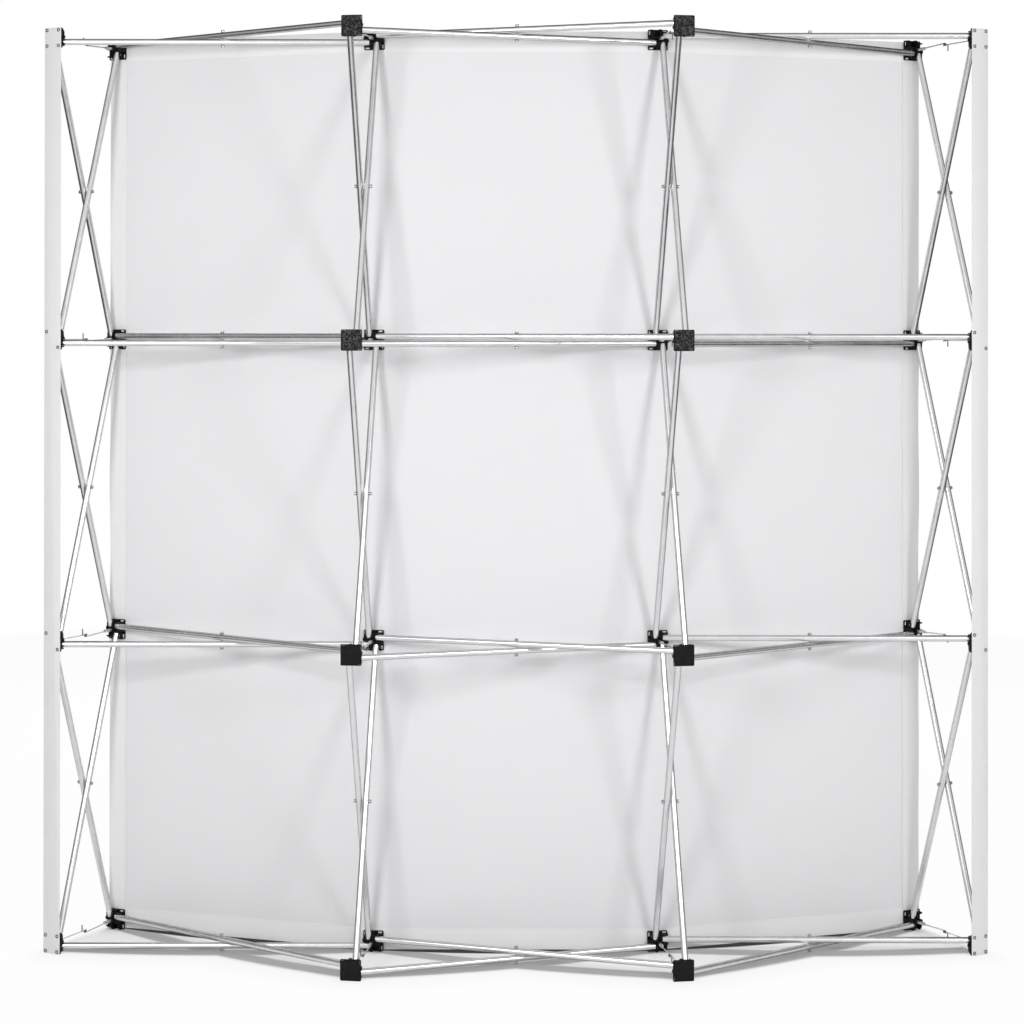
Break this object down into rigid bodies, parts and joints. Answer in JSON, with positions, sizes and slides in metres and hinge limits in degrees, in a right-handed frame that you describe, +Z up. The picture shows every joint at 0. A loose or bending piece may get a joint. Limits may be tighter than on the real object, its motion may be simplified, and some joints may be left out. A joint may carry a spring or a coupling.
{
  "type": "curved banner wall",
  "caption": "Free-standing curved banner wall: crossed tubes on square hubs with hinged locking arms carry a plain fabric panel on the inner side of the curve.",
  "frame": {"origin": "on the ground, under the middle of the wall's bounding box", "axes": "+Z up, +X along the wall, -Y towards the back with the bare frame, +Y towards the fabric side"},
  "size_m": [2.303, 0.4992, 2.255],
  "materials": {
    "tube": "satin",
    "rivet": "satin",
    "arm": "satin",
    "hub": "satin",
    "hook_pad": "matte",
    "strip": "satin",
    "fabric": "matte",
    "loop_tape": "matte"
  },
  "bodies": {
    "wall": {"rear_hubs_column_1": "hub", "front_hubs_column_1": "hub", "column_tubes_1": "tube", "rear_hubs_column_2": "hub", "front_hubs_column_2": "hub", "column_tubes_2": "tube", "rear_hubs_column_3": "hub", "front_hubs_column_3": "hub", "column_tubes_3": "tube", "rear_hubs_column_4": "hub", "front_hubs_column_4": "hub", "column_tubes_4": "tube", "row_tubes_1": "tube", "row_tubes_2": "tube", "row_tubes_3": "tube", "row_tubes_4": "tube", "row_rivets": "rivet", "column_rivets": "rivet", "front_pads": "hook_pad", "rear_pads": "hook_pad", "left_end_strip": "strip", "right_end_strip": "strip", "fabric_panel": "fabric", "loop_border": "loop_tape", "loop_patches": "loop_tape"},
    "front_arm_column_1_level_1": {"front_arm_column_1_level_1": "arm"},
    "rear_arm_column_1_level_1": {"rear_arm_column_1_level_1": "arm"},
    "front_arm_column_1_level_2": {"front_arm_column_1_level_2": "arm"},
    "rear_arm_column_1_level_2": {"rear_arm_column_1_level_2": "arm"},
    "front_arm_column_1_level_3": {"front_arm_column_1_level_3": "arm"},
    "rear_arm_column_1_level_3": {"rear_arm_column_1_level_3": "arm"},
    "front_arm_column_1_level_4": {"front_arm_column_1_level_4": "arm"},
    "rear_arm_column_1_level_4": {"rear_arm_column_1_level_4": "arm"},
    "front_arm_column_2_level_1": {"front_arm_column_2_level_1": "arm"},
    "rear_arm_column_2_level_1": {"rear_arm_column_2_level_1": "arm"},
    "front_arm_column_2_level_2": {"front_arm_column_2_level_2": "arm"},
    "rear_arm_column_2_level_2": {"rear_arm_column_2_level_2": "arm"},
    "front_arm_column_2_level_3": {"front_arm_column_2_level_3": "arm"},
    "rear_arm_column_2_level_3": {"rear_arm_column_2_level_3": "arm"},
    "front_arm_column_2_level_4": {"front_arm_column_2_level_4": "arm"},
    "rear_arm_column_2_level_4": {"rear_arm_column_2_level_4": "arm"},
    "front_arm_column_3_level_1": {"front_arm_column_3_level_1": "arm"},
    "rear_arm_column_3_level_1": {"rear_arm_column_3_level_1": "arm"},
    "front_arm_column_3_level_2": {"front_arm_column_3_level_2": "arm"},
    "rear_arm_column_3_level_2": {"rear_arm_column_3_level_2": "arm"},
    "front_arm_column_3_level_3": {"front_arm_column_3_level_3": "arm"},
    "rear_arm_column_3_level_3": {"rear_arm_column_3_level_3": "arm"},
    "front_arm_column_3_level_4": {"front_arm_column_3_level_4": "arm"},
    "rear_arm_column_3_level_4": {"rear_arm_column_3_level_4": "arm"},
    "front_arm_column_4_level_1": {"front_arm_column_4_level_1": "arm"},
    "rear_arm_column_4_level_1": {"rear_arm_column_4_level_1": "arm"},
    "front_arm_column_4_level_2": {"front_arm_column_4_level_2": "arm"},
    "rear_arm_column_4_level_2": {"rear_arm_column_4_level_2": "arm"},
    "front_arm_column_4_level_3": {"front_arm_column_4_level_3": "arm"},
    "rear_arm_column_4_level_3": {"rear_arm_column_4_level_3": "arm"},
    "front_arm_column_4_level_4": {"front_arm_column_4_level_4": "arm"},
    "rear_arm_column_4_level_4": {"rear_arm_column_4_level_4": "arm"}
  },
  "joints": [
    {"name": "front_arm_column_1_level_1_hinge", "type": "hinge", "parent": "wall", "child": "front_arm_column_1_level_1", "pos_m": [-1.01959, 0.21161, 0.025], "axis": [0.8945, -0.447, 0], "range_deg": [0, 50]},
    {"name": "rear_arm_column_1_level_1_hinge", "type": "hinge", "parent": "wall", "child": "rear_arm_column_1_level_1", "pos_m": [-1.11748, 0.0157, 0.025], "axis": [0.8945, -0.447, 0], "range_deg": [0, 50]},
    {"name": "front_arm_column_1_level_2_hinge", "type": "hinge", "parent": "wall", "child": "front_arm_column_1_level_2", "pos_m": [-1.01959, 0.21161, 0.76], "axis": [0.8945, -0.447, 0], "range_deg": [0, 50]},
    {"name": "rear_arm_column_1_level_2_hinge", "type": "hinge", "parent": "wall", "child": "rear_arm_column_1_level_2", "pos_m": [-1.11748, 0.0157, 0.76], "axis": [0.8945, -0.447, 0], "range_deg": [0, 50]},
    {"name": "front_arm_column_1_level_3_hinge", "type": "hinge", "parent": "wall", "child": "front_arm_column_1_level_3", "pos_m": [-1.01959, 0.21161, 1.495], "axis": [0.8945, -0.447, 0], "range_deg": [0, 50]},
    {"name": "rear_arm_column_1_level_3_hinge", "type": "hinge", "parent": "wall", "child": "rear_arm_column_1_level_3", "pos_m": [-1.11748, 0.0157, 1.495], "axis": [0.8945, -0.447, 0], "range_deg": [0, 50]},
    {"name": "front_arm_column_1_level_4_hinge", "type": "hinge", "parent": "wall", "child": "front_arm_column_1_level_4", "pos_m": [-1.01959, 0.21161, 2.23], "axis": [0.8945, -0.447, 0], "range_deg": [0, 50]},
    {"name": "rear_arm_column_1_level_4_hinge", "type": "hinge", "parent": "wall", "child": "rear_arm_column_1_level_4", "pos_m": [-1.11748, 0.0157, 2.23], "axis": [0.8945, -0.447, 0], "range_deg": [0, 50]},
    {"name": "front_arm_column_2_level_1_hinge", "type": "hinge", "parent": "wall", "child": "front_arm_column_2_level_1", "pos_m": [-0.35094, -0.00179, 0.025], "axis": [0.9881, -0.1538, 0], "range_deg": [0, 50]},
    {"name": "rear_arm_column_2_level_1_hinge", "type": "hinge", "parent": "wall", "child": "rear_arm_column_2_level_1", "pos_m": [-0.38463, -0.21818, 0.025], "axis": [0.9881, -0.1538, 0], "range_deg": [0, 50]},
    {"name": "front_arm_column_2_level_2_hinge", "type": "hinge", "parent": "wall", "child": "front_arm_column_2_level_2", "pos_m": [-0.35094, -0.00179, 0.76], "axis": [0.9881, -0.1538, 0], "range_deg": [0, 50]},
    {"name": "rear_arm_column_2_level_2_hinge", "type": "hinge", "parent": "wall", "child": "rear_arm_column_2_level_2", "pos_m": [-0.38463, -0.21818, 0.76], "axis": [0.9881, -0.1538, 0], "range_deg": [0, 50]},
    {"name": "front_arm_column_2_level_3_hinge", "type": "hinge", "parent": "wall", "child": "front_arm_column_2_level_3", "pos_m": [-0.35094, -0.00179, 1.495], "axis": [0.9881, -0.1538, 0], "range_deg": [0, 50]},
    {"name": "rear_arm_column_2_level_3_hinge", "type": "hinge", "parent": "wall", "child": "rear_arm_column_2_level_3", "pos_m": [-0.38463, -0.21818, 1.495], "axis": [0.9881, -0.1538, 0], "range_deg": [0, 50]},
    {"name": "front_arm_column_2_level_4_hinge", "type": "hinge", "parent": "wall", "child": "front_arm_column_2_level_4", "pos_m": [-0.35094, -0.00179, 2.23], "axis": [0.9881, -0.1538, 0], "range_deg": [0, 50]},
    {"name": "rear_arm_column_2_level_4_hinge", "type": "hinge", "parent": "wall", "child": "rear_arm_column_2_level_4", "pos_m": [-0.38463, -0.21818, 2.23], "axis": [0.9881, -0.1538, 0], "range_deg": [0, 50]},
    {"name": "front_arm_column_3_level_1_hinge", "type": "hinge", "parent": "wall", "child": "front_arm_column_3_level_1", "pos_m": [0.35094, -0.00179, 0.025], "axis": [-0.9881, -0.1538, 0], "range_deg": [0, 50]},
    {"name": "rear_arm_column_3_level_1_hinge", "type": "hinge", "parent": "wall", "child": "rear_arm_column_3_level_1", "pos_m": [0.38463, -0.21818, 0.025], "axis": [-0.9881, -0.1538, 0], "range_deg": [0, 50]},
    {"name": "front_arm_column_3_level_2_hinge", "type": "hinge", "parent": "wall", "child": "front_arm_column_3_level_2", "pos_m": [0.35094, -0.00179, 0.76], "axis": [-0.9881, -0.1538, 0], "range_deg": [0, 50]},
    {"name": "rear_arm_column_3_level_2_hinge", "type": "hinge", "parent": "wall", "child": "rear_arm_column_3_level_2", "pos_m": [0.38463, -0.21818, 0.76], "axis": [-0.9881, -0.1538, 0], "range_deg": [0, 50]},
    {"name": "front_arm_column_3_level_3_hinge", "type": "hinge", "parent": "wall", "child": "front_arm_column_3_level_3", "pos_m": [0.35094, -0.00179, 1.495], "axis": [-0.9881, -0.1538, 0], "range_deg": [0, 50]},
    {"name": "rear_arm_column_3_level_3_hinge", "type": "hinge", "parent": "wall", "child": "rear_arm_column_3_level_3", "pos_m": [0.38463, -0.21818, 1.495], "axis": [-0.9881, -0.1538, 0], "range_deg": [0, 50]},
    {"name": "front_arm_column_3_level_4_hinge", "type": "hinge", "parent": "wall", "child": "front_arm_column_3_level_4", "pos_m": [0.35094, -0.00179, 2.23], "axis": [-0.9881, -0.1538, 0], "range_deg": [0, 50]},
    {"name": "rear_arm_column_3_level_4_hinge", "type": "hinge", "parent": "wall", "child": "rear_arm_column_3_level_4", "pos_m": [0.38463, -0.21818, 2.23], "axis": [-0.9881, -0.1538, 0], "range_deg": [0, 50]},
    {"name": "front_arm_column_4_level_1_hinge", "type": "hinge", "parent": "wall", "child": "front_arm_column_4_level_1", "pos_m": [1.01959, 0.21161, 0.025], "axis": [-0.8945, -0.447, 0], "range_deg": [0, 50]},
    {"name": "rear_arm_column_4_level_1_hinge", "type": "hinge", "parent": "wall", "child": "rear_arm_column_4_level_1", "pos_m": [1.11748, 0.0157, 0.025], "axis": [-0.8945, -0.447, 0], "range_deg": [0, 50]},
    {"name": "front_arm_column_4_level_2_hinge", "type": "hinge", "parent": "wall", "child": "front_arm_column_4_level_2", "pos_m": [1.01959, 0.21161, 0.76], "axis": [-0.8945, -0.447, 0], "range_deg": [0, 50]},
    {"name": "rear_arm_column_4_level_2_hinge", "type": "hinge", "parent": "wall", "child": "rear_arm_column_4_level_2", "pos_m": [1.11748, 0.0157, 0.76], "axis": [-0.8945, -0.447, 0], "range_deg": [0, 50]},
    {"name": "front_arm_column_4_level_3_hinge", "type": "hinge", "parent": "wall", "child": "front_arm_column_4_level_3", "pos_m": [1.01959, 0.21161, 1.495], "axis": [-0.8945, -0.447, 0], "range_deg": [0, 50]},
    {"name": "rear_arm_column_4_level_3_hinge", "type": "hinge", "parent": "wall", "child": "rear_arm_column_4_level_3", "pos_m": [1.11748, 0.0157, 1.495], "axis": [-0.8945, -0.447, 0], "range_deg": [0, 50]},
    {"name": "front_arm_column_4_level_4_hinge", "type": "hinge", "parent": "wall", "child": "front_arm_column_4_level_4", "pos_m": [1.01959, 0.21161, 2.23], "axis": [-0.8945, -0.447, 0], "range_deg": [0, 50]},
    {"name": "rear_arm_column_4_level_4_hinge", "type": "hinge", "parent": "wall", "child": "rear_arm_column_4_level_4", "pos_m": [1.11748, 0.0157, 2.23], "axis": [-0.8945, -0.447, 0], "range_deg": [0, 50]}
  ]
}
